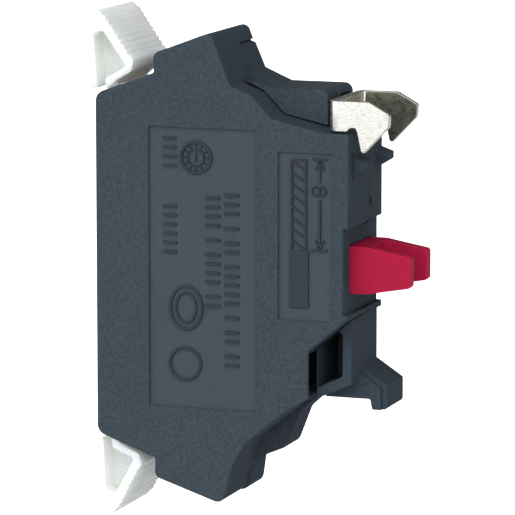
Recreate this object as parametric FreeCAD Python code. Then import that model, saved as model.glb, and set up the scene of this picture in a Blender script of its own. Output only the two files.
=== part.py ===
"""Normally closed contact block for a 22 mm emergency stop operator.

Frame: +X points out of the front face, the way the plunger stands out.  +Z is up and Y runs
through the thickness.  The origin is on the plunger axis, in the front plane, at mid thickness.
"""
import FreeCAD
import Part
import math
import os
from FreeCAD import Vector

os.makedirs("parts", exist_ok=True)

# ---- driving dimensions, in millimetres ----
THICKNESS = 10.0          # pitch of blocks mounted side by side
NEAR_Y = -THICKNESS / 2
FAR_Y = THICKNESS / 2
MID_Z = -0.35             # height of the case's own mid plane
REAR_X = -23.75
SLOPE = 0.364             # rise of the sloped top and bottom walls
SIDE_WALL = 0.9
WALL = 1.0
SEAM_Y = 1.1              # where the two half shells meet
SEAM_GAP = 0.04
RIM_ROUND = 0.18
SET_BACK = 0.45           # front faces behind the front plane

PLUNGER_HALF_WIDTH = 3.15
PLUNGER_HALF_HEIGHT = 2.1
GUIDE_GAP = 0.1

SHEET = 0.6               # latch sheet metal
LATCH_HALF_WIDTH = 4.5
LATCH_PIVOT = (-5.0, 13.6)
LATCH_PIN_R = 0.5
TONGUE_Y = (1.35, 3.85)   # the tongue runs beside the middle, in the far half shell

LEVER_HALF_WIDTH = 4.5
LEVER_PIVOT = (-21.3, 12.3)
ARM_IN = 3.1              # inner and outer faces of the lever's arms, from the middle
ARM_OUT = 3.9
LEVER_TILT = 6.5          # the upper lever rests this much further back than the lower one
TRUNNION_R = 0.7
RUNNING = 0.05

WIRE_ENTRY_R = 1.7
WIRE_HEIGHT = 12.1        # wire axis above the case's mid plane
BAR_HEIGHT = 9.65         # underside of the terminal bar above the mid plane
BAR_THICK = 0.8
BAR_HALF_WIDTH = 1.6
CONTACT_X = -6.6          # rear face of the fixed contact leg
CONTACT_Z = 5.0
TIP_THICK = 0.5
TIP_GAP = 0.05

RETURN_SEAT_X = -19.1
SPRING_WIRE_R = 0.16
RETURN_WIRE_R = 0.12      # thin enough that the pressed spring is not coil bound
RETURN_TURNS = 5
PRESSURE_TURNS = 4


# ---- shape helpers ----
def outline(points, y=0.0):
    """Closed wire in the XZ plane.  Each point is (x, z, corner radius)."""
    corners = [Vector(p[0], y, p[1]) for p in points]
    count = len(points)
    entry = []
    leave = []
    middle = []
    for i, here in enumerate(corners):
        radius = points[i][2] if len(points[i]) > 2 else 0.0
        back = (corners[i - 1] - here).normalize()
        ahead = (corners[(i + 1) % count] - here).normalize()
        if radius == 0.0:
            entry.append(here)
            leave.append(here)
            middle.append(None)
            continue
        half = back.getAngle(ahead) / 2
        cut = radius / math.tan(half)
        entry.append(here + back * cut)
        leave.append(here + ahead * cut)
        centre = here + (back + ahead).normalize() * (radius / math.sin(half))
        middle.append(centre + (here - centre).normalize() * radius)
    edges = []
    for i in range(count):
        if middle[i] is not None:
            edges.append(Part.Arc(entry[i], middle[i], leave[i]).toShape())
        following = entry[(i + 1) % count]
        if (following - leave[i]).Length > 1e-6:
            edges.append(Part.LineSegment(leave[i], following).toShape())
    return Part.Wire(edges)


def prism(points, y_low, y_high):
    face = Part.Face(outline(points, y_low))
    return face.extrude(Vector(0, y_high - y_low, 0))


def block(x_low, x_high, y_low, y_high, z_low, z_high):
    corner = Vector(x_low, y_low, z_low)
    return Part.makeBox(x_high - x_low, y_high - y_low, z_high - z_low, corner)


def rod_y(x, z, radius, y_low, y_high):
    return Part.makeCylinder(radius, y_high - y_low, Vector(x, y_low, z), Vector(0, 1, 0))


def rod_x(y, z, radius, x_low, x_high):
    return Part.makeCylinder(radius, x_high - x_low, Vector(x_low, y, z), Vector(1, 0, 0))


def coil_x(x_low, x_high, mean_radius, wire_radius, turns):
    """Helical compression spring along X, on the plunger axis."""
    length = x_high - x_low - 2 * wire_radius
    helix = Part.makeHelix(length / turns, length, mean_radius)
    profile = Part.Wire(Part.makeCircle(wire_radius, Vector(mean_radius, 0, 0), Vector(0, 1, 0)))
    spring = Part.Wire(helix).makePipeShell([profile], True, True)
    spring.rotate(Vector(0, 0, 0), Vector(0, 1, 0), 90)
    spring.translate(Vector(x_low + wire_radius, 0, 0))
    return spring


def below(shape):
    """The same shape on the lower side of the case."""
    return shape.mirror(Vector(0, 0, MID_Z), Vector(0, 0, 1))


def save(name, shape):
    shape = shape.removeSplitter()
    if not shape.isValid() or not shape.Solids:
        raise ValueError(name + " is not a valid solid")
    shape.exportStep("parts/" + name + ".step")
    print(name, len(shape.Solids), "solid(s), volume", round(shape.Volume, 2))


# ---- outlines of the two half shells ----
def slope_z(x):
    """Height of the sloped rear top wall above the mid plane."""
    return 15.4 + SLOPE * (x - REAR_X)


REAR_HALF = [
    (-18.2, slope_z(-18.2), 0.2),
    (-18.25, 19.15, 0.7),
    (-12.8, 21.2, 0.7),
]


def rear_points(sign):
    """Rear corner, step and shoulder, from the rear outwards."""
    points = [(REAR_X, MID_Z + sign * slope_z(REAR_X), 1.0)]
    for x, height, radius in REAR_HALF:
        points.append((x, MID_Z + sign * height, radius))
    return points


FRONT_TOP = 12.25
RIDGE_TOP = -3.85
RIDGE_LOW = -4.4

COVER_POINTS = rear_points(1) + [
    (-10.95, 16.1, 0.25),
    (-9.0, 15.35, 1.5),
    (-7.15, 13.4, 0.25),
    (-2.3, FRONT_TOP, 0.8),
    (0.0, FRONT_TOP, 0.2),
    (0.0, 3.85),
    (-SET_BACK, 3.85),
    (-SET_BACK, RIDGE_TOP),
    (0.0, RIDGE_TOP),
    (0.0, -4.17),
    (-3.7, -7.25, 0.4),
    (-3.7, -11.5, 0.2),
    (-6.0, -12.95, 3.0),
    (-9.6, -16.0, 1.6),
    (-10.75, -17.9, 1.5),
    (-11.75, -21.65, 0.8),
] + rear_points(-1)[2::-1]

FRAME_X = -0.4
FOOT_X = 2.1
FOOT_LOW = -13.0
ARM_LOW = -12.05
CASE_POINTS = rear_points(1) + [
    (-12.25, 19.42),
    (-12.5, 19.25),
    (-12.0, 19.05),
    (-11.05, 16.85, 0.25),
    (-8.5, 15.75, 0.4),
    (-2.75, 15.75, 0.75),
    (-2.75, FRONT_TOP, 0.2),
    (0.0, FRONT_TOP, 0.2),
    (0.0, 3.95),
    (-SET_BACK, 3.95),
    (-SET_BACK, RIDGE_TOP),
    (0.0, RIDGE_TOP),
    (0.0, RIDGE_LOW),
    (FRAME_X, RIDGE_LOW - 0.1),
    (FRAME_X, -9.15),
    (FOOT_X, -10.8, 0.25),
    (FOOT_X, FOOT_LOW, 0.3),
    (0.8, FOOT_LOW, 0.2),
    (0.62, ARM_LOW, 0.2),
    (-4.4, ARM_LOW, 0.8),
    (-6.5, -14.0, 0.8),
    (-7.75, -17.25, 0.9),
    (-10.9, -18.6, 0.3),
    (-11.35, -21.75, 0.9),
] + rear_points(-1)[2::-1]


def filleted_rim(shape, y, radius):
    """Round the outer edges that lie in the plane of a side face."""
    def in_plane(edge):
        return abs(edge.BoundBox.YMin - y) < 1e-6 and abs(edge.BoundBox.YMax - y) < 1e-6
    rim = [edge for edge in shape.Edges if in_plane(edge)]
    return shape.makeFillet(radius, rim)


# ---- openings shared by both half shells ----
LEVER_ZONE_X = (-26.0, -18.6)
SIDE_LIP = 0.42           # thin side walls beside the levers


def lever_opening():
    """Slot through the sloped wall and the rear wall's top, with a notch for each lever arm."""
    low = MID_Z + slope_z(REAR_X) - 1.45
    high = MID_Z + 20.0
    slot = block(*LEVER_ZONE_X, NEAR_Y + SIDE_LIP, FAR_Y - SIDE_LIP, low, high)
    notches = []
    for side in (-1, 1):
        y_low = min(side * (ARM_IN - 0.25), side * (ARM_OUT + 0.2))
        y_high = y_low + ARM_OUT - ARM_IN + 0.45
        notches.append(block(REAR_X - 1, REAR_X + WALL + 0.1, y_low, y_high, 11.6, high))
    return slot.fuse(notches)


def shell_openings():
    cuts = []
    upper_lever = lever_opening()
    upper_wire = rod_x(0, MID_Z + WIRE_HEIGHT, WIRE_ENTRY_R, REAR_X - 1, REAR_X + WALL + 1)
    x, z = LEVER_PIVOT
    upper_trunnion = rod_y(x, z, TRUNNION_R + RUNNING, NEAR_Y + 0.35, FAR_Y - 0.35)
    for shape in (upper_lever, upper_wire, upper_trunnion):
        cuts.append(shape)
        cuts.append(below(shape))
    half_y = PLUNGER_HALF_WIDTH + GUIDE_GAP
    half_z = PLUNGER_HALF_HEIGHT + GUIDE_GAP
    cuts.append(block(-2.5, 1.0, -half_y, half_y, -half_z, half_z))
    return cuts


def side_recess(x_low, x_high, z_low, z_high, y_low, y_high):
    r = 0.12
    corners = [(x_low, z_low, r), (x_low, z_high, r), (x_high, z_high, r), (x_high, z_low, r)]
    return prism(corners, y_low, y_high)


LABEL_RECESS = (-18.7, -8.55, -12.95, 12.3)
GAUGE_RECESS = (-6.5, -1.5, -4.45, 10.5)
RECESS_DEPTH = 0.22
NEAR_TOOTH_Y = (-3.1, -1.15)
FAR_TOOTH_Y = (3.2, FAR_Y)
TOOTH = [(-0.6, 10.3), (1.07, 9.7), (1.07, 9.08), (-0.6, 8.05)]


def tooth(y_low, y_high):
    """Small stop tooth on the front face, under a latch tip."""
    return prism(TOOTH, y_low, y_high)


SEAM_STEP_Y = 2.05        # the joint line jogs this far over below its notch


def seam_details():
    """Joint line on the front face: a groove, a notch where it jogs, and a slot at its foot."""
    groove = block(-0.35, 0.1, SEAM_Y - SEAM_GAP, SEAM_Y + 0.08, 5.6, FRONT_TOP - 0.5)
    notch = prism([(0.1, 5.95), (0.1, 5.2), (-0.35, 5.3), (-0.35, 5.85)], SEAM_Y, SEAM_STEP_Y)
    jog = block(-0.25, 0.1, SEAM_STEP_Y - 0.07, SEAM_STEP_Y, 3.95, 5.4)
    slot = block(-0.9, 0.1, 0.55, SEAM_STEP_Y + 0.4, 3.55, 3.9)
    return [groove, notch, jog, slot]


# ---- half shells ----
def inner_face(points, y):
    return Part.Face(outline(points, y)).makeOffset2D(-WALL)


def case_cover():
    seam = SEAM_Y - SEAM_GAP
    shell = filleted_rim(prism(COVER_POINTS, NEAR_Y, seam), NEAR_Y, RIM_ROUND)
    floor_y = NEAR_Y + SIDE_WALL
    cavity = inner_face(COVER_POINTS, floor_y).extrude(Vector(0, THICKNESS, 0))
    shell = shell.cut(cavity)
    near_pegs = [rod_y(x, z, 0.9, floor_y - 0.1, SEAM_Y - SEAM_GAP) for x, z in PEGS]
    shell = shell.fuse(near_pegs)
    pockets = [rod_y(x, z, 0.45 + RUNNING, 0.0, 2.0) for x, z in PEGS]
    recesses = [
        side_recess(*LABEL_RECESS, NEAR_Y - 1, NEAR_Y + RECESS_DEPTH),
        side_recess(*GAUGE_RECESS, NEAR_Y - 1, NEAR_Y + RECESS_DEPTH),
    ]
    shell = shell.cut(shell_openings() + pockets + recesses)
    tooth_slot = block(-0.8, 0.5, -4.0, NEAR_TOOTH_Y[0], 8.25, 10.45)
    return shell.cut([tooth_slot, lower_window()] + seam_details()).fuse(tooth(*NEAR_TOOTH_Y))


def lower_window():
    """Opening in the cover's cut away front corner, beside the open frame."""
    return block(-5.2, -3.5, NEAR_Y + 0.35, SEAM_Y, -11.4, -7.45)


PEGS = [(-14.2, 17.5), (-14.2, -18.2), (-10.0, 12.9), (-7.0, -12.2)]
TOP_BOX_Y = -1.6
FRAME_Y = -2.6
FOOT_Y = -0.3


def top_box():
    """Housing of the latch pivot, which stands beside the cover's low front shoulder."""
    shape = prism([
        (-10.75, 16.35), (-8.5, 15.75, 0.4), (-3.0, 15.75, 0.6), (-3.0, FRONT_TOP + 0.35),
        (-7.05, 13.5), (-8.95, 15.47, 1.4),
    ], TOP_BOX_Y, SEAM_Y + 0.2)
    return shape


def lower_frame():
    """Open frame that carries the foot, seen beside the cover's cut away front corner."""
    return prism([
        (FRAME_X, RIDGE_LOW - 0.2), (-3.64, -7.35), (-3.64, -11.85), (FRAME_X, -10.4, 0.15),
    ], FRAME_Y, SEAM_Y + 0.2)


def foot_block():
    """Hook foot; its near edges carry a bevel."""
    shape = prism([
        (FRAME_X - 0.4, -9.0), (FRAME_X, -9.15), (FOOT_X, -10.8, 0.25), (FOOT_X, FOOT_LOW, 0.3),
        (0.8, FOOT_LOW, 0.2), (0.62, ARM_LOW, 0.2), (-3.6, ARM_LOW),
    ], FOOT_Y, SEAM_Y + 0.2)
    bevel = prism([(FRAME_X, -8.5), (3.0, -10.75), (3.0, -15.0), (FOOT_X - 0.5, -15.0),
                   (FOOT_X - 0.5, -11.05), (FRAME_X, -9.65)], FOOT_Y - 1, FOOT_Y + 0.35)
    return shape.cut(bevel)


def frame_hollow():
    return prism([
        (-3.62, -7.2), (-1.75, -5.5, 0.2), (-1.23, -5.95, 0.3), (-1.23, -9.75, 0.4),
        (-3.62, -10.85),
    ], FRAME_Y - 1, FAR_Y - 1.5)


def latch_cavity():
    x, z = LATCH_PIVOT
    room = block(-6.6, -3.9, -0.6, FAR_Y - SIDE_WALL, FRONT_TOP + 0.25, 14.95)
    leaf_room = block(-8.2, -6.0, TONGUE_Y[0], TONGUE_Y[1], 14.5, 14.95)
    slot = block(-4.0, -2.0, TONGUE_Y[0] - 0.2, TONGUE_Y[1] + 0.15, 12.9, 15.1)
    pin_hole = rod_y(x, z, LATCH_PIN_R, TOP_BOX_Y + 0.5, FAR_Y - 0.5)
    return [room, leaf_room, slot, pin_hole]


def main_case():
    shell = filleted_rim(prism(CASE_POINTS, SEAM_Y, FAR_Y), FAR_Y, RIM_ROUND)
    both = Part.Face(outline(COVER_POINTS, SEAM_Y - 0.5)).makeOffset2D(-WALL)
    cavity = both.extrude(Vector(0, FAR_Y - SIDE_WALL - SEAM_Y + 0.5, 0))
    shell = shell.cut(cavity)
    shell = shell.fuse([top_box(), lower_frame(), foot_block()])
    far_pegs = [rod_y(x, z, 0.9, SEAM_Y, FAR_Y - SIDE_WALL + 0.1) for x, z in PEGS]
    pins = [rod_y(x, z, 0.45, 0.1, SEAM_Y + 0.5) for x, z in PEGS]
    seat = block(RETURN_SEAT_X - 0.9, RETURN_SEAT_X, -3.9, FAR_Y - SIDE_WALL + 0.1, -2.6, 2.6)
    saddles = []
    for x in (-9.5, -17.0):
        saddle = block(x - 0.4, x + 0.4, -3.0, FAR_Y - SIDE_WALL + 0.1,
                       MID_Z + BAR_HEIGHT - 1.6, MID_Z + BAR_HEIGHT - 0.02)
        saddles.append(saddle)
        saddles.append(below(saddle))
    shell = shell.fuse(far_pegs + pins + [seat] + saddles)
    guide_hole = rod_x(0, 0, 0.5, RETURN_SEAT_X - 0.6, RETURN_SEAT_X + 0.1)
    far_recess = side_recess(*LABEL_RECESS, FAR_Y - RECESS_DEPTH, FAR_Y + 1)
    shell = shell.cut(shell_openings() + latch_cavity() + seam_details())
    shell = shell.cut([frame_hollow(), guide_hole, far_recess])
    return shell.fuse(tooth(*FAR_TOOTH_Y))


# ---- moving contact group ----
WINDOW_FRONT_X = -5.85
WINDOW_REAR_X = -12.3
STEM_REAR_X = -13.2
RAIL_IN = 1.7
RAIL_OUT = 2.6
BRIDGE_FRONT_X = CONTACT_X - 2 * TIP_THICK - TIP_GAP


def plunger():
    profile = [
        (WINDOW_FRONT_X, -PLUNGER_HALF_HEIGHT), (1.1, -PLUNGER_HALF_HEIGHT, 0.3),
        (5.0, -1.4, 0.2), (5.15, -1.2, 0.1), (5.15, 1.2, 0.1), (5.0, 1.4, 0.2),
        (1.1, PLUNGER_HALF_HEIGHT, 0.3), (WINDOW_FRONT_X, PLUNGER_HALF_HEIGHT),
    ]
    head = prism(profile, -PLUNGER_HALF_WIDTH, PLUNGER_HALF_WIDTH)
    slot_half = PLUNGER_HALF_WIDTH - 1.2
    head = head.cut(block(1.25, 6.0, -slot_half, slot_half, -3, 3))
    bars = [block(STEM_REAR_X, WINDOW_FRONT_X + 0.1, side * RAIL_OUT if side < 0 else RAIL_IN,
                  -RAIL_IN if side < 0 else RAIL_OUT, -1.6, 1.6) for side in (-1, 1)]
    rear = block(STEM_REAR_X, WINDOW_REAR_X, -RAIL_OUT, RAIL_OUT, -1.6, 1.6)
    return head.fuse(bars + [rear])


def contact_bridge():
    x_rear = BRIDGE_FRONT_X - 0.65
    half_z = CONTACT_Z + 1.3
    profile = [(x_rear, -half_z, 0.25), (x_rear, half_z, 0.25),
               (BRIDGE_FRONT_X, half_z, 0.25), (BRIDGE_FRONT_X, -half_z, 0.25)]
    return prism(profile, -1.4, 1.4)


def discs(x_low, x_high, radius):
    return [rod_x(0, side * CONTACT_Z, radius, x_low, x_high) for side in (1, -1)]


def bridge_contact_tips():
    return Part.makeCompound(discs(BRIDGE_FRONT_X, BRIDGE_FRONT_X + TIP_THICK, 1.0))


CUP_REAR_X = BRIDGE_FRONT_X - 0.65 - 0.45


def pressure_spring_cup():
    plate = rod_x(0, 0, 1.35, CUP_REAR_X, BRIDGE_FRONT_X - 0.65)
    stub = rod_x(0, 0, 0.6, CUP_REAR_X - 0.6, CUP_REAR_X)
    return plate.fuse(stub)


# ---- terminals ----
def terminal_bar(sign):
    """Stamped bar: contact leg behind the front wall, then back along the case to the clamp."""
    z_in = MID_Z + sign * BAR_HEIGHT
    z_out = MID_Z + sign * (BAR_HEIGHT + BAR_THICK)
    leg_front = CONTACT_X + BAR_THICK
    return prism([
        (leg_front, sign * 3.7), (leg_front, z_out, 0.9), (-21.8, z_out),
        (-21.8, z_in), (CONTACT_X, z_in, 0.2), (CONTACT_X, sign * 3.7),
    ], -BAR_HALF_WIDTH, BAR_HALF_WIDTH)


def contact_tip(sign):
    return rod_x(0, sign * CONTACT_Z, 1.1, CONTACT_X - TIP_THICK, CONTACT_X)


def clamp_spring():
    """Leaf spring: foot on the bar, riser that stops the wire, crown, and clamping tongue."""
    t = 0.35
    foot = MID_Z + BAR_HEIGHT + BAR_THICK + 0.02
    return prism([
        (-13.2, foot), (-13.2, foot + t), (-14.7, foot + t, 0.3), (-14.7, MID_Z + 13.1, 0.9),
        (-22.1, MID_Z + 16.72, 0.95), (-19.83, MID_Z + 11.15), (-19.5, MID_Z + 11.3),
        (-21.58, MID_Z + 16.15, 0.5), (-15.05, MID_Z + 12.8, 0.5), (-15.05, foot),
    ], -BAR_HALF_WIDTH, BAR_HALF_WIDTH)


# ---- release levers ----
RIB_COUNT = 9
RIB_START = (-23.25, 22.05)
RIB_END = (-20.62, 18.2)
RIB_HEIGHT = 0.13


def ribbed_edge():
    """Wavy thumb face: a groove and a crest for each rib."""
    dx = (RIB_END[0] - RIB_START[0]) / RIB_COUNT
    dz = (RIB_END[1] - RIB_START[1]) / RIB_COUNT
    length = math.hypot(dx, dz)
    out_x = -dz / length * RIB_HEIGHT
    out_z = dx / length * RIB_HEIGHT
    points = []
    for i in range(RIB_COUNT):
        x = RIB_START[0] + i * dx
        z = RIB_START[1] + i * dz
        points.append((x + 0.12 * dx, z + 0.12 * dz, 0.04))
        points.append((x + 0.34 * dx + out_x, z + 0.34 * dz + out_z, 0.07))
        points.append((x + 0.78 * dx + out_x, z + 0.78 * dz + out_z, 0.07))
    return points


def release_lever():
    """Upper lever in its rest position; the lower one is its mirror image, tilted forwards."""
    head_points = [(-24.22, 15.42, 0.25), (-24.98, 21.7, 0.45), (-24.45, 22.3, 0.3),
                   (-23.6, 22.42, 0.2)]
    head_points += ribbed_edge()
    head_points += [(-20.3, 18.05, 0.3), (-20.45, 17.1, 0.4), (-21.85, 16.25, 0.2),
                    (-22.6, 15.55, 0.2)]
    head = prism(head_points, -LEVER_HALF_WIDTH, LEVER_HALF_WIDTH)
    pocket_points = [(-23.68, 15.0), (-24.1, 20.3, 0.45), (-23.2, 20.6, 0.4),
                     (-20.98, 17.5, 0.25), (-22.95, 16.35, 0.2), (-22.95, 15.0)]
    depth = 2.4
    near = prism(pocket_points, -LEVER_HALF_WIDTH - 1, -LEVER_HALF_WIDTH + depth)
    far = prism(pocket_points, LEVER_HALF_WIDTH - depth, LEVER_HALF_WIDTH + 1)
    head = head.cut([near, far])
    x, z = LEVER_PIVOT
    pieces = []
    for side in (-1, 1):
        y_in = min(side * ARM_IN, side * ARM_OUT)
        arm = prism([
            (x - 0.9, z - 0.3, 0.3), (-23.1, 15.7), (-22.3, 16.4), (x - 0.35, z + 2.6, 0.4),
            (x + 1.75, z + 2.45, 0.4), (x + 2.2, z + 1.6, 0.4), (x + 1.0, z - 0.3, 0.3),
            (x + 0.6, z - 1.1, 0.4), (x - 0.6, z - 1.1, 0.4),
        ], y_in, y_in + ARM_OUT - ARM_IN)
        y_pin = min(side * 3.5, side * 4.6)
        pieces.append(arm)
        pieces.append(rod_y(x, z, TRUNNION_R, y_pin, y_pin + 1.1))
    cam = rod_y(x + 1.7, z + 1.9, 0.45, -ARM_IN - 0.1, ARM_IN + 0.1)
    return head.fuse(pieces + [cam])


def lower_lever():
    lever = below(release_lever())
    x, z = LEVER_PIVOT
    lever.rotate(Vector(x, 0, 2 * MID_Z - z), Vector(0, 1, 0), -LEVER_TILT)
    return lever


# ---- latch ----
def latch_stirrup():
    """Sheet metal stirrup: rear web, two hooked cheeks and a tongue that ends in the pivot eye."""
    x_web = -2.05
    w = LATCH_HALF_WIDTH
    flat = [Vector(4.5, -w, 0), Vector(x_web, -w, 0), Vector(x_web, w, 0), Vector(4.5, w, 0)]
    plan = Part.Face(Part.makePolygon(flat + [flat[0]])).extrude(Vector(0, 0, 8))
    corners = [e for e in plan.Edges if abs(e.BoundBox.XMax - x_web) < 1e-6 and e.BoundBox.ZLength > 1]
    plan = plan.makeFillet(SHEET + 0.25, corners)
    inside = block(x_web + SHEET, 6.0, -w + SHEET, w - SHEET, -1, 9)
    inner = [e for e in inside.Edges
             if abs(e.BoundBox.XMax - x_web - SHEET) < 1e-6 and e.BoundBox.ZLength > 1]
    plan = plan.cut(inside.makeFillet(0.25, inner))
    plan.translate(Vector(0, 0, 9.0))
    cheek = prism([
        (x_web - 0.1, 12.45), (x_web - 0.1, 15.15), (1.7, 15.15, 0.4), (3.6, 14.1, 0.4),
        (3.55, 13.0, 0.5), (1.25, 10.6, 0.14), (0.98, 10.75, 0.14), (0.62, 12.4, 0.1),
        (0.45, 12.8, 0.15), (-0.02, 12.78, 0.15), (-0.35, 12.45, 0.1),
    ], -w - 0.1, w + 0.1)
    stirrup = plan.common(cheek)
    x, z = LATCH_PIVOT
    tongue = block(x + 0.2, x_web + 0.3, *TONGUE_Y, z - 0.3, z + 0.3)
    eye = rod_y(x, z, 0.95, *TONGUE_Y)
    hole = rod_y(x, z, LATCH_PIN_R + RUNNING, 0, FAR_Y)
    return stirrup.fuse([tongue, eye]).cut(hole)


def latch_pivot_pin():
    x, z = LATCH_PIVOT
    return rod_y(x, z, LATCH_PIN_R, TOP_BOX_Y + 0.5, FAR_Y - 0.5)


def latch_return_spring():
    """Thin leaf that presses on the latch tongue from above."""
    return prism([
        (-8.1, 14.72), (-8.1, 14.88), (-4.3, 14.88, 0.3), (-3.45, 14.17), (-3.55, 14.04),
        (-4.36, 14.72, 0.15),
    ], TONGUE_Y[0] + 0.25, TONGUE_Y[1] - 0.25)


def write_parts():
    save("case_cover", case_cover())
    save("main_case", main_case())
    save("plunger", plunger())
    save("plunger_return_spring", coil_x(RETURN_SEAT_X + 0.05, STEM_REAR_X - 0.05, 1.25,
                                         RETURN_WIRE_R, RETURN_TURNS))
    save("return_spring_guide_pin", rod_x(0, 0, 0.5, RETURN_SEAT_X - 0.6, RETURN_SEAT_X + 1.2))
    save("contact_bridge", contact_bridge())
    save("bridge_contact_tips", bridge_contact_tips())
    save("pressure_spring_cup", pressure_spring_cup())
    save("contact_pressure_spring", coil_x(WINDOW_REAR_X + 0.05, CUP_REAR_X - 0.05, 0.95,
                                           SPRING_WIRE_R, PRESSURE_TURNS))
    for name, sign in (("upper", 1), ("lower", -1)):
        save(name + "_terminal_bar", terminal_bar(sign))
        save(name + "_contact_tip", contact_tip(sign))
    save("upper_clamp_spring", clamp_spring())
    save("lower_clamp_spring", below(clamp_spring()))
    save("upper_release_lever", release_lever())
    save("lower_release_lever", lower_lever())
    save("latch_stirrup", latch_stirrup())
    save("latch_pivot_pin", latch_pivot_pin())
    save("latch_return_spring", latch_return_spring())


write_parts()
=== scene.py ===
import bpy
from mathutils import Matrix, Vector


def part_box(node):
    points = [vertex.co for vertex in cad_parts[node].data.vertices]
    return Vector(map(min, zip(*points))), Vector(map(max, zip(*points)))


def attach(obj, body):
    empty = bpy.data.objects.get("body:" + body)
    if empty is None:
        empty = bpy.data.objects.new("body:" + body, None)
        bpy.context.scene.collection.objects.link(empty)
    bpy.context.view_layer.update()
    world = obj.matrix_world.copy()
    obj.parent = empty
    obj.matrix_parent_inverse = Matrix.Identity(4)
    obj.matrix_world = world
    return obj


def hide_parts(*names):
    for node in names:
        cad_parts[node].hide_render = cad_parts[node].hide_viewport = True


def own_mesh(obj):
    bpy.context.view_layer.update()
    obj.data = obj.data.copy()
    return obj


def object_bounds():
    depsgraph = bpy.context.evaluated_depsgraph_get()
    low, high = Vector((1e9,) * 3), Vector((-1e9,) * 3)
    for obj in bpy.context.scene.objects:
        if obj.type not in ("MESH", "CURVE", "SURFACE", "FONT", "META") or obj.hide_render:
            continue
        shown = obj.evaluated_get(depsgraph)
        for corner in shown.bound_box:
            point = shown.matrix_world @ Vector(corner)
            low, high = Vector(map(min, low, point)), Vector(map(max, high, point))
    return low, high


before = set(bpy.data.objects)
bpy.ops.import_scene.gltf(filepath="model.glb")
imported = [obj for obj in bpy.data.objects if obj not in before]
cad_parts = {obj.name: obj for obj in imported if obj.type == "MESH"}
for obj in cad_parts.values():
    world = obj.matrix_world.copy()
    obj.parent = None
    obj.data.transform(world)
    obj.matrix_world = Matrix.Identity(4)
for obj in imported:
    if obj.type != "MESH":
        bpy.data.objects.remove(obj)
cad_box = [list(corner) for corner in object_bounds()]

import bmesh
import bpy
import math
from mathutils import Vector

MM = 0.001

# ---- places taken from the frame ----
RECESS_DEPTH = 0.22 * MM          # depth of the two panels sunk into the near side
PANEL_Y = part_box("case_cover")[0].y + RECESS_DEPTH
LOWEST_Z = cad_box[0][2]


# ---- materials ----
NOISE_SPAN = (0.3, 0.7)           # the part of a noise's range that tints and gloss follow
NOISE_ROUGHNESS = 0.6
BEVEL_SAMPLES = 6


class Nodes:
    """Small helper that adds shader nodes to one material."""

    def __init__(self, name):
        self.material = bpy.data.materials.new(name)
        self.material.use_nodes = True
        self.tree = self.material.node_tree
        self.shader = self.tree.nodes["Principled BSDF"]
        self.place = self.add("ShaderNodeTexCoord").outputs["Object"]

    def add(self, kind, **values):
        node = self.tree.nodes.new(kind)
        for key, value in values.items():
            setattr(node, key, value)
        return node

    def link(self, source, target):
        self.tree.links.new(source, target)

    def stretched(self, scale):
        mapping = self.add("ShaderNodeMapping")
        mapping.inputs["Scale"].default_value = scale
        self.link(self.place, mapping.inputs["Vector"])
        return mapping.outputs["Vector"]

    def noise(self, size_mm, detail, vector=None):
        noise = self.add("ShaderNodeTexNoise")
        noise.inputs["Scale"].default_value = 1.0 / (size_mm * MM)
        noise.inputs["Detail"].default_value = detail
        noise.inputs["Roughness"].default_value = NOISE_ROUGHNESS
        self.link(vector or self.place, noise.inputs["Vector"])
        return noise.outputs["Fac"]

    def tint(self, factor, first, second):
        """Eases from one colour to another as a noise rises through its span."""
        ramp = self.add("ShaderNodeValToRGB")
        ramp.color_ramp.interpolation = "EASE"
        for element, position, colour in zip(ramp.color_ramp.elements, NOISE_SPAN, (first, second)):
            element.position = position
            element.color = (*colour, 1.0)
        self.link(factor, ramp.inputs["Fac"])
        return ramp.outputs["Color"]

    def multiplied(self, first, second):
        """Product of two colours; sockets 6, 7 and 2 are the Mix node's colour sockets."""
        mix = self.add("ShaderNodeMix", data_type="RGBA", blend_type="MULTIPLY")
        mix.inputs["Factor"].default_value = 1.0
        self.link(first, mix.inputs[6])
        self.link(second, mix.inputs[7])
        return mix.outputs[2]

    def span(self, factor, low_value, high_value):
        span = self.add("ShaderNodeMapRange")
        span.inputs["From Min"].default_value = NOISE_SPAN[0]
        span.inputs["From Max"].default_value = NOISE_SPAN[1]
        span.inputs["To Min"].default_value = low_value
        span.inputs["To Max"].default_value = high_value
        self.link(factor, span.inputs["Value"])
        return span.outputs["Result"]

    def bump(self, heights, round_mm=0.0):
        """Chain of bumps; each is (height output, strength, depth in millimetres)."""
        normal = None
        if round_mm:
            edge = self.add("ShaderNodeBevel", samples=BEVEL_SAMPLES)
            edge.inputs["Radius"].default_value = round_mm * MM
            normal = edge.outputs["Normal"]
        for height, strength, depth in heights:
            bump = self.add("ShaderNodeBump")
            bump.inputs["Strength"].default_value = strength
            bump.inputs["Distance"].default_value = depth * MM
            self.link(height, bump.inputs["Height"])
            if normal:
                self.link(normal, bump.inputs["Normal"])
            normal = bump.outputs["Normal"]
        self.link(normal, self.shader.inputs["Normal"])


def shade(colour, amount):
    return tuple(channel * amount for channel in colour)


def grey(value):
    return (value, value, value)


FLOW_MM = 4.5                     # size of the slow clouds that the melt leaves in a moulding
FLOW_STRETCH = (1.0, 1.0, 0.35)
PLASTIC_SWING = 0.06              # how far a plastic's roughness goes either way
MOTTLE_SHARE = 3                  # size of the mottling against the grain
MOTTLE_DEPTH = 2.5                # depth of the mottling against the grain


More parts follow.
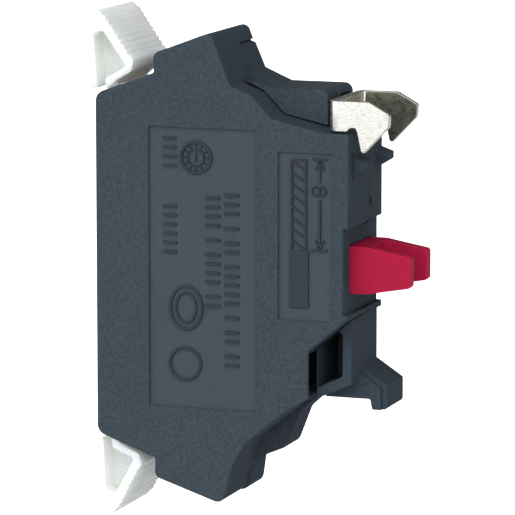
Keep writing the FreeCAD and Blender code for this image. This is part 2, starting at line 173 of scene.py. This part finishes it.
def moulded_plastic(name, colour, roughness, grain_mm, grain_depth, spread=0.15, sheen=0.16, round_mm=0.0):
    """Moulded plastic: eroded mould grain, slow mottling from the flow, uneven gloss."""
    n = Nodes(name)
    grain = n.noise(grain_mm, 2.0)
    mottle = n.noise(grain_mm * MOTTLE_SHARE, 3.0)
    flow = n.noise(FLOW_MM, 2.0, n.stretched(FLOW_STRETCH))
    base = n.tint(mottle, shade(colour, 1 - spread), shade(colour, 1 + spread))
    speckle = n.tint(grain, grey(0.93), grey(1.07))
    clouds = n.tint(flow, (0.96, 0.98, 1.0), (1.04, 1.02, 1.0))
    n.link(n.multiplied(n.multiplied(base, speckle), clouds), n.shader.inputs["Base Color"])
    gloss = n.span(mottle, roughness - PLASTIC_SWING, roughness + PLASTIC_SWING)
    n.link(gloss, n.shader.inputs["Roughness"])
    n.shader.inputs["Specular IOR Level"].default_value = sheen
    n.bump([(grain, 0.5, grain_depth), (mottle, 0.35, grain_depth * MOTTLE_DEPTH)], round_mm)
    return n.material


def milky(material, weight, reach_mm):
    """Lets light travel inside pale plastic, which fills its shaded faces."""
    shader = material.node_tree.nodes["Principled BSDF"]
    shader.inputs["Subsurface Weight"].default_value = weight
    shader.inputs["Subsurface Radius"].default_value = (1.0, 1.0, 0.85)
    shader.inputs["Subsurface Scale"].default_value = reach_mm * MM


LINES_MM = 0.5
STAIN_MM = 1.6
METAL_GLOSS = (-0.07, 0.09)       # how far a metal's roughness goes below and above its own


def metal(name, colour, roughness, brush, brush_depth, spread=0.08):
    """Metal with faint lines and stains; brush scales the lines, a larger number is finer."""
    n = Nodes(name)
    lines = n.noise(LINES_MM, 3.0, n.stretched(brush))
    stain = n.noise(STAIN_MM, 4.0)
    base = n.tint(stain, shade(colour, 1 - spread), shade(colour, 1 + spread * 0.6))
    streaks = n.tint(lines, (0.95, 0.94, 0.92), grey(1.03))
    n.link(n.multiplied(base, streaks), n.shader.inputs["Base Color"])
    gloss = n.span(lines, roughness + METAL_GLOSS[0], roughness + METAL_GLOSS[1])
    n.link(gloss, n.shader.inputs["Roughness"])
    n.shader.inputs["Metallic"].default_value = 1.0
    if brush_depth:
        n.bump([(lines, 0.4, brush_depth)])
    return n.material


CASE = (0.0390, 0.0515, 0.0640)
# the marks' colour is darker than the case: painted shade for the shadows on the raised marks' flanks
MARK_PAINTED_SHADE = (0.0230, 0.0310, 0.0390)
PANEL = (0.0415, 0.0530, 0.0650)
RED = (0.335, 0.0085, 0.0390)
WHITE = (0.79, 0.805, 0.79)
case_skin = moulded_plastic("case_eroded", CASE, 0.78, 0.11, 0.006, sheen=0.06, round_mm=0.07)
mark_painted_shade_skin = moulded_plastic("case_marks_painted_shade", MARK_PAINTED_SHADE, 0.5, 0.09, 0.002, spread=0.05)
panel_skin = moulded_plastic("case_panel", PANEL, 0.44, 0.09, 0.0025, spread=0.06, round_mm=0.04)
red_skin = moulded_plastic("plunger_satin", RED, 0.5, 0.14, 0.004, spread=0.05, sheen=0.07)
# the rolled edges of the plunger and the levers are painted lighter than their faces: painted highlight
# along the edges
red_edge_highlight = moulded_plastic("plunger_edge_painted_highlight", shade(RED, 1.25), 0.5, 0.2, 0.002, spread=0.04, sheen=0.07)
white_skin = moulded_plastic("lever_satin", WHITE, 0.45, 0.16, 0.003, spread=0.02)
white_edge_highlight = moulded_plastic("lever_edge_painted_highlight", shade(WHITE, 1.03), 0.4, 0.2, 0.002, spread=0.02)
MILK_WEIGHT = 0.9
MILK_REACH_MM = 2.0
for skin in (white_skin, white_edge_highlight):
    milky(skin, MILK_WEIGHT, MILK_REACH_MM)
nickel = metal("latch_nickel", (0.90, 0.88, 0.83), 0.27, (1.0, 1.0, 4.0), 0.0, spread=0.02)
# the stirrup's rolled edges are darker and warmer than its faces: painted shade along the rolled edges
nickel_edge_shade = metal("latch_sheared_edge_painted_shade", (0.46, 0.42, 0.34), 0.3, (6.0, 1.0, 1.0), 0.002)
# a dark copy of the nickel for the cheeks' inner faces: painted shade inside the stirrup
nickel_painted_shade = metal("latch_nickel_painted_shade", (0.22, 0.22, 0.18), 0.3, (1.0, 1.0, 1.6), 0.0, spread=0.06)
wire = metal("spring_wire", (0.56, 0.56, 0.57), 0.28, (1.0, 5.0, 5.0), 0.002)
bronze = metal("clamp_bronze", (0.78, 0.47, 0.30), 0.46, (1.0, 8.0, 1.0), 0.003, spread=0.16)
copper = metal("bar_copper", (0.62, 0.33, 0.20), 0.32, (1.0, 8.0, 1.0), 0.003, spread=0.12)
silver = metal("contact_silver", (0.84, 0.83, 0.80), 0.26, (3.0, 3.0, 3.0), 0.003)


# ---- refined copies of the moulded and stamped parts ----
WELD = 0.002 * MM                 # points closer than this become one
FLAT = math.radians(0.4)          # faces that meet at less than this are merged
SHARP = math.radians(28)          # edges that turn by more than this are rolled over
EDGE_SEGMENTS = 3
MOULDED_EDGE_MM = 0.06            # radius of the rolled edges on moulded parts
SHEARED_EDGE_MM = 0.07            # and on the sheet metal
MAIN_SLOT = 0
# slot of the rolled edges: painted highlight on the plastic parts, painted shade on the stirrup
PAINTED_EDGE_SLOT = 1
# slot of the cheeks' inner faces, which carry painted shade
PAINTED_SHADE_SLOT = 2


def finished(name, mesh, body, materials):
    """Puts a mesh in the scene as a piece that rides on a body and takes these materials."""
    piece = bpy.data.objects.new(name, mesh)
    bpy.context.scene.collection.objects.link(piece)
    mesh.materials.clear()
    for material in materials:
        mesh.materials.append(material)
    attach(piece, body)
    return piece


def apply_modifiers(piece):
    bpy.context.view_layer.update()
    evaluated = piece.evaluated_get(bpy.context.evaluated_depsgraph_get())
    mesh = bpy.data.meshes.new_from_object(evaluated)
    piece.modifiers.clear()
    piece.data = mesh


def softened(piece, width_mm):
    """Rolls the piece's sharp edges over, and keeps the flats flat in the shading; the rolled edges take
    the piece's second material, which holds its painted edge highlight on plastic and painted edge shade
    on the stirrup.
    """
    bevel = piece.modifiers.new("edges", "BEVEL")
    bevel.width = width_mm * MM
    bevel.segments = EDGE_SEGMENTS
    bevel.limit_method = "ANGLE"
    bevel.angle_limit = SHARP
    bevel.use_clamp_overlap = False
    bevel.miter_outer = "MITER_ARC"
    bevel.material = PAINTED_EDGE_SLOT
    weigh = piece.modifiers.new("flats", "WEIGHTED_NORMAL")
    weigh.keep_sharp = True
    apply_modifiers(piece)


def refined(node, name, body, materials, width_mm):
    """A copy of a part with welded points, merged flats and rolled edges, in its place."""
    bm = bmesh.new()
    bm.from_mesh(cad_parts[node].data)
    bmesh.ops.remove_doubles(bm, verts=bm.verts, dist=WELD)
    bmesh.ops.dissolve_limit(bm, angle_limit=FLAT, verts=bm.verts, edges=bm.edges)
    for face in bm.faces:
        face.smooth = True
        face.material_index = MAIN_SLOT
    mesh = bpy.data.meshes.new(name)
    bm.to_mesh(mesh)
    bm.free()
    piece = finished(name, mesh, body, materials)
    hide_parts(node)
    softened(piece, width_mm)
    return piece


PANEL_REACH = 0.01 * MM           # a face this close to a panel's depth belongs to the panel
SQUARE_ON = 0.99                  # share of a normal that points sideways on a side panel
PANEL_SLOT = 1


def moulded_shell(node):
    """A half shell keeps its shape; its sunk side panels get the smoother, paler skin."""
    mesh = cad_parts[node].data
    mesh.materials.clear()
    mesh.materials.append(case_skin)
    mesh.materials.append(panel_skin)
    for face in mesh.polygons:
        sunk = abs(abs(face.center.y) - abs(PANEL_Y)) < PANEL_REACH
        sideways = abs(face.normal.y) > SQUARE_ON
        face.material_index = PANEL_SLOT if sunk and sideways else MAIN_SLOT


moulded_shell("case_cover")
moulded_shell("main_case")
refined("plunger", "plunger_moulding", "plunger", [red_skin, red_edge_highlight],
        MOULDED_EDGE_MM)
for side in ("upper", "lower"):
    refined(side + "_release_lever", side + "_lever_moulding", side + "_lever",
            [white_skin, white_edge_highlight], MOULDED_EDGE_MM)
stirrup = refined("latch_stirrup", "latch_stirrup_sheet", "latch",
                  [nickel, nickel_edge_shade, nickel_painted_shade], SHEARED_EDGE_MM)

CHEEK_REACH = 0.8 * MM            # the cheeks' inner faces lie this close to the stirrup's sides
INWARD = 0.9                      # share of a normal that points sideways on an inner face
# the cheeks' inner faces take the dark nickel: painted shade inside the stirrup
stirrup_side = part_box("latch_stirrup")[1].y
for face in stirrup.data.polygons:
    inward = face.normal.y * face.center.y < 0 and abs(face.normal.y) > INWARD
    on_cheek = abs(face.center.y) > stirrup_side - CHEEK_REACH
    if face.material_index == MAIN_SLOT and inward and on_cheek:
        face.material_index = PAINTED_SHADE_SLOT


# ---- copies of the springs, which ride on the case ----
def sprung(node, name):
    """A copy of a spring in spring wire, which rides on the case."""
    piece = finished(name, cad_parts[node].data.copy(), "case", [wire])
    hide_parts(node)
    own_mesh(piece)


sprung("plunger_return_spring", "plunger_return_coils")
sprung("latch_return_spring", "latch_return_leaf")


# ---- raised marks in the sunk panels; their places and widths are in millimetres ----
RELIEF = 0.19 * MM                # raised marks stay just below the side face
SUNK = 0.03 * MM                  # how far a raised mark's base goes into the panel
SLOPE = 0.05 * MM                 # width and height of a mark's sloped edge
STROKE = 0.17


def join_rings(bm, rings, closed):
    """Quads between rings of points; a closed set also joins the last ring to the first."""
    pairs = list(zip(rings, rings[1:]))
    if closed:
        pairs.append((rings[-1], rings[0]))
    for ring, following in pairs:
        for i in range(len(ring)):
            j = (i + 1) % len(ring)
            bm.faces.new((ring[i], ring[j], following[j], following[i]))


def ridge(bm, corners):
    """Convex raised mark with sloped edges; corners are (x, z)."""
    points = [Vector((x * MM, 0, z * MM)) for x, z in corners]
    centre = sum(points, Vector()) / len(points)
    top = PANEL_Y - RELIEF
    rings = []
    for y, inset in ((PANEL_Y + SUNK, 0.0), (top + SLOPE, 0.0), (top, SLOPE)):
        ring = []
        for point in points:
            place = point + (centre - point).normalized() * inset
            ring.append(bm.verts.new((place.x, y, place.z)))
        rings.append(ring)
    join_rings(bm, rings, False)
    bm.faces.new(rings[0])
    bm.faces.new(rings[-1])


def stroke(bm, start, end, width=STROKE):
    """Straight raised line from start to end."""
    first = Vector(start)
    last = Vector(end)
    across = (last - first).normalized().orthogonal() * width / 2
    ridge(bm, [first + across, last + across, last - across, first - across])


def ring_mark(bm, centre, radii, width, count=40):
    """Raised oval ring with sloped edges."""
    half = width / 2
    slope = SLOPE / MM
    profile = [(half, SUNK), (half, SLOPE - RELIEF), (half - slope, -RELIEF),
               (slope - half, -RELIEF), (-half, SLOPE - RELIEF), (-half, SUNK)]
    rings = []
    for i in range(count):
        angle = math.tau * i / count
        section = []
        for reach, y in profile:
            x = centre[0] + (radii[0] + reach) * math.cos(angle)
            z = centre[1] + (radii[1] + reach) * math.sin(angle)
            section.append(bm.verts.new((x * MM, PANEL_Y + y, z * MM)))
        rings.append(section)
    join_rings(bm, rings, True)


def mark_piece(name, draw):
    """One piece of raised marks, which the draw function fills in; their darker skin is painted shade for
    their shadowed flanks.
    """
    bm = bmesh.new()
    draw(bm)
    bmesh.ops.recalc_face_normals(bm, faces=bm.faces)
    mesh = bpy.data.meshes.new(name)
    bm.to_mesh(mesh)
    bm.free()
    finished(name, mesh, "case", [mark_painted_shade_skin])


STRIP_X = (-5.28, -3.95)
STRIP_Z = (1.85, 9.85)            # the bare end is life size, 8 mm long
STRIP_COUNT = 8
LINE_PAST = 0.05                  # how far the side lines run past both ends
HATCH_INSET = 0.06
HATCH_START = 0.12                # how far down its step a hatch line starts, as a share
HATCH_FALL = 0.86                 # how far it falls, as a share of the step
SHEATH_X = (-5.49, -3.68)
SHEATH_FOOT = -3.33


def strip_gauge(bm):
    """Life-size picture of a stripped wire: hatched bare end and solid insulation."""
    left, right = STRIP_X
    bottom, top = STRIP_Z
    for x in STRIP_X:
        stroke(bm, (x, bottom - LINE_PAST), (x, top + LINE_PAST))
    stroke(bm, (left, top), (right, top))
    step = (top - bottom) / STRIP_COUNT
    for i in range(STRIP_COUNT):
        z = top - step * (i + HATCH_START)
        stroke(bm, (left + HATCH_INSET, z), (right - HATCH_INSET, z - step * HATCH_FALL))
    outer, inner = SHEATH_X
    ridge(bm, [(outer, SHEATH_FOOT), (outer, bottom), (inner, bottom), (inner, SHEATH_FOOT)])


DIMENSION_X = -2.66
END_LINE_X = (-3.4, -1.95)
END_LINES = ((9.98, -1), (1.87, 1))           # z of each end line, and the way its arrow opens
LINE_PARTS = ((9.75, 7.9), (6.4, 2.1))        # the line is broken where the digit stands
ARROW_TIP = 0.16                  # from an end line to its arrow's tip
ARROW_FOOT = 0.95                 # from an end line to the open end of its arrow
ARROW_HALF = 0.42
DIGIT_Z = 7.14
DIGIT_LOOPS = ((-3.02, 0.33), (-2.37, 0.27))  # x and half width of each loop of the 8
LOOP_HALF = 0.42
LOOP_WIDTH = 0.13
LOOP_POINTS = 24


def dimension_line(bm):
    """Dimension line with end lines, arrows and a digit 8, which lies on its side."""
    for z, way in END_LINES:
        stroke(bm, (END_LINE_X[0], z), (END_LINE_X[1], z))
        tip = (DIMENSION_X, z + way * ARROW_TIP)
        stroke(bm, tip, (DIMENSION_X - ARROW_HALF, z + way * ARROW_FOOT))
        stroke(bm, tip, (DIMENSION_X + ARROW_HALF, z + way * ARROW_FOOT))
    for z_top, z_foot in LINE_PARTS:
        stroke(bm, (DIMENSION_X, z_top), (DIMENSION_X, z_foot))
    for x, half in DIGIT_LOOPS:
        ring_mark(bm, (x, DIGIT_Z), (half, LOOP_HALF), LOOP_WIDTH, LOOP_POINTS)


TICK_PITCH = 0.82
GROUP_SPACE = 0.5


def tick_row(bm, x_low, x_high, z_top, groups, width):
    """Column of plain cross ridges in groups."""
    z = z_top
    for count in groups:
        for i in range(count):
            stroke(bm, (x_low, z), (x_high, z), width)
            z -= TICK_PITCH
        z -= GROUP_SPACE


DIAL = Vector((-14.24, 9.64))
DIAL_TICKS = 12
OVAL = (-15.2, -3.9)
CIRCLE = (-15.3, -9.0)


def plain_marks(bm):
    """Plain ridges and mould marks where a maker's data would stand."""
    tick_row(bm, -11.55, -10.2, 6.4, (3, 1, 2, 5, 1, 2, 2), 0.27)
    tick_row(bm, -13.35, -12.0, 6.1, (4, 1, 4, 2), 0.27)
    tick_row(bm, -17.35, -16.1, 5.2, (6,), 0.24)
    tick_row(bm, -17.35, -16.1, 11.3, (4,), 0.24)
    ring_mark(bm, DIAL, (1.4, 1.4), 0.26)
    ring_mark(bm, DIAL, (0.75, 0.75), 0.16)
    for i in range(DIAL_TICKS):
        angle = math.tau * i / DIAL_TICKS
        way = Vector((math.cos(angle), math.sin(angle)))
        stroke(bm, DIAL + way * 0.95, DIAL + way * 1.2, 0.12)
    stroke(bm, (DIAL.x, 9.25), (DIAL.x, 10.05), 0.16)
    ring_mark(bm, OVAL, (1.5, 1.95), 0.26)
    ring_mark(bm, OVAL, (0.95, 1.36), 0.2)
    ring_mark(bm, CIRCLE, (1.45, 1.45), 0.26)


mark_piece("strip_gauge_relief", strip_gauge)
mark_piece("dimension_relief", dimension_line)
mark_piece("side_panel_relief", plain_marks)


# ---- finishes of the parts that keep their plain shape ----
FINISHES = {
    "contact_pressure_spring": wire, "return_spring_guide_pin": wire,
    "pressure_spring_cup": wire, "latch_pivot_pin": wire,
    "contact_bridge": copper, "upper_terminal_bar": copper, "lower_terminal_bar": copper,
    "bridge_contact_tips": silver, "upper_contact_tip": silver, "lower_contact_tip": silver,
    "upper_clamp_spring": bronze, "lower_clamp_spring": bronze,
}
for node, material in FINISHES.items():
    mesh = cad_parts[node].data
    mesh.materials.clear()
    mesh.materials.append(material)


# ---- studio ----
FLOOR_DROP = 0.014
FLOOR_HALF = 4.0


def studio_floor():
    """White floor; it gives off light only to the camera, so it doesn't light the object."""
    z = LOWEST_Z - FLOOR_DROP
    corners = [(-FLOOR_HALF, -FLOOR_HALF, z), (FLOOR_HALF, -FLOOR_HALF, z),
               (FLOOR_HALF, FLOOR_HALF, z), (-FLOOR_HALF, FLOOR_HALF, z)]
    mesh = bpy.data.meshes.new("studio_floor")
    mesh.from_pydata(corners, [], [(0, 1, 2, 3)])
    floor = bpy.data.objects.new("studio_floor", mesh)
    bpy.context.scene.collection.objects.link(floor)
    n = Nodes("floor_paper")
    fibres = n.noise(3.0, 4.0)
    n.link(n.tint(fibres, grey(0.69), grey(0.71)), n.shader.inputs["Base Color"])
    n.shader.inputs["Roughness"].default_value = 0.9
    n.shader.inputs["Specular IOR Level"].default_value = 0.1
    n.shader.inputs["Emission Color"].default_value = (1.0, 1.0, 1.0, 1.0)
    path = n.add("ShaderNodeLightPath")
    n.link(path.outputs["Is Camera Ray"], n.shader.inputs["Emission Strength"])
    mesh.materials.append(n.material)


GLOW_FULL = 0.95                  # cosine of the angle inside which a glow is at full strength
DIM_REST = 0.055                  # strength of the surroundings away from a glow
KEY_WAY = (-0.22, -0.96, 0.16)
KEY_STRENGTH = 2.5
FILL_WAY = (0.95, -0.25, 0.22)
FILL_STRENGTH = 0.5
BACK_WAY = (-0.75, 0.62, 0.22)
BACK_STRENGTH = 0.7
BACK_SPREAD = math.radians(50)


def soft_glow(tree, way, strength):
    """A wide soft box on one side of the surroundings, which fades into a dim rest."""
    place = tree.nodes.new("ShaderNodeTexCoord")
    facing = tree.nodes.new("ShaderNodeVectorMath")
    facing.operation = "DOT_PRODUCT"
    facing.inputs[1].default_value = Vector(way).normalized()
    tree.links.new(place.outputs["Generated"], facing.inputs[0])
    fade = tree.nodes.new("ShaderNodeMapRange")
    fade.interpolation_type = "SMOOTHSTEP"
    fade.inputs["From Min"].default_value = 0.0
    fade.inputs["From Max"].default_value = GLOW_FULL
    fade.inputs["To Min"].default_value = DIM_REST
    fade.inputs["To Max"].default_value = strength
    tree.links.new(facing.outputs["Value"], fade.inputs["Value"])
    return fade.outputs["Result"]


def studio_light():
    """Two soft glows in the surroundings: the key in front and a weaker fill at the right."""
    scene = bpy.context.scene
    scene.view_settings.view_transform = "Standard"
    world = bpy.data.worlds.new("studio")
    scene.world = world
    world.use_nodes = True
    tree = world.node_tree
    background = tree.nodes["Background"]
    background.inputs["Color"].default_value = (0.97, 0.99, 1.0, 1.0)
    key = soft_glow(tree, KEY_WAY, KEY_STRENGTH)
    fill = soft_glow(tree, FILL_WAY, FILL_STRENGTH)
    total = tree.nodes.new("ShaderNodeMath")
    total.operation = "ADD"
    tree.links.new(key, total.inputs[0])
    tree.links.new(fill, total.inputs[1])
    tree.links.new(total.outputs["Value"], background.inputs["Strength"])


def back_light():
    """Wide, weak light from behind, so that the far side and the rear still read."""
    light = bpy.data.lights.new("back", "SUN")
    light.energy = BACK_STRENGTH
    light.angle = BACK_SPREAD
    lamp = bpy.data.objects.new("back", light)
    bpy.context.scene.collection.objects.link(lamp)
    lamp.rotation_euler = Vector(BACK_WAY).to_track_quat("Z", "Y").to_euler()


CAMERA_AZIMUTH = 19.2             # degrees; 0 looks along +Y
CAMERA_ELEVATION = 9.0
CAMERA_DISTANCE = 0.354
CAMERA_FOCUS = Vector((-8.4, -5.0, 1.0)) * MM
CAMERA_LENS = 279.6


def camera_at(azimuth, elevation, distance, focus, lens):
    """Camera that looks at focus; azimuth and elevation are in degrees."""
    a = math.radians(azimuth)
    e = math.radians(elevation)
    way = Vector((math.sin(a) * math.cos(e), -math.cos(a) * math.cos(e), math.sin(e)))
    data = bpy.data.cameras.new("camera")
    data.lens = lens
    data.sensor_width = 36.0
    data.clip_end = 20.0
    camera = bpy.data.objects.new("camera", data)
    bpy.context.scene.collection.objects.link(camera)
    camera.location = focus + way * distance
    camera.rotation_euler = way.to_track_quat("Z", "Y").to_euler()
    bpy.context.scene.camera = camera


studio_floor()
studio_light()
back_light()
camera_at(CAMERA_AZIMUTH, CAMERA_ELEVATION, CAMERA_DISTANCE, CAMERA_FOCUS, CAMERA_LENS)
